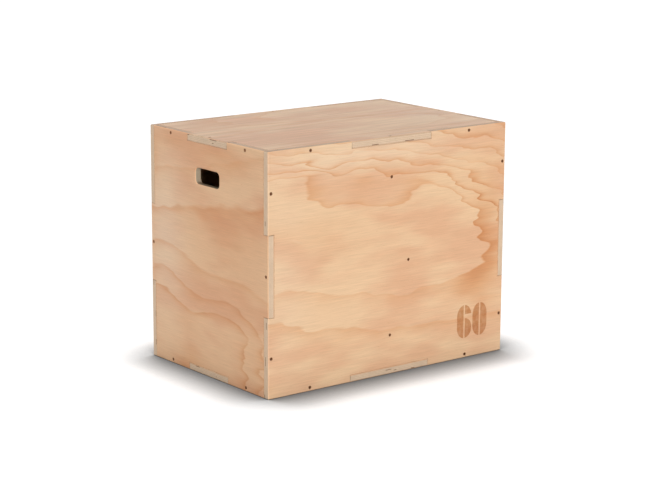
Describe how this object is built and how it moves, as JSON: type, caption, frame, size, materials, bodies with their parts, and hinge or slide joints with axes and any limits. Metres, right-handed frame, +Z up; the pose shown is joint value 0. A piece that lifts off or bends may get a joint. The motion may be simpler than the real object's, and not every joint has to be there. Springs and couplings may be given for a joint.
{
  "type": "plyo box",
  "caption": "Plywood jump box with finger-jointed panels, countersunk screws, a hand hole in each end and an inner brace; it stands on any face to give different jump heights.",
  "frame": {"origin": "middle of the floor face, on the plane that the box stands on", "axes": "+X along the length to the right end, +Y from the front with the number to the back, +Z up"},
  "size_m": [0.75, 0.5, 0.6],
  "materials": {
    "plywood": "clear-sealed rotary-cut softwood plywood",
    "brace_plywood": "unsealed softwood plywood",
    "screw_steel": "dark bronze-black coated steel"
  },
  "bodies": {
    "root": {"front_panel": "plywood", "back_panel": "plywood", "left_end_panel": "plywood", "right_end_panel": "plywood", "top_panel": "plywood", "bottom_panel": "plywood", "upright_brace": "brace_plywood", "cross_brace": "brace_plywood", "front_left_screws": "screw_steel", "front_right_screws": "screw_steel", "front_bottom_screws": "screw_steel", "front_top_screws": "screw_steel", "back_left_screws": "screw_steel", "back_right_screws": "screw_steel", "back_bottom_screws": "screw_steel", "back_top_screws": "screw_steel", "left_bottom_screws": "screw_steel", "left_top_screws": "screw_steel", "right_bottom_screws": "screw_steel", "right_top_screws": "screw_steel", "front_brace_screws": "screw_steel", "back_brace_screws": "screw_steel"}
  },
  "joints": []
}
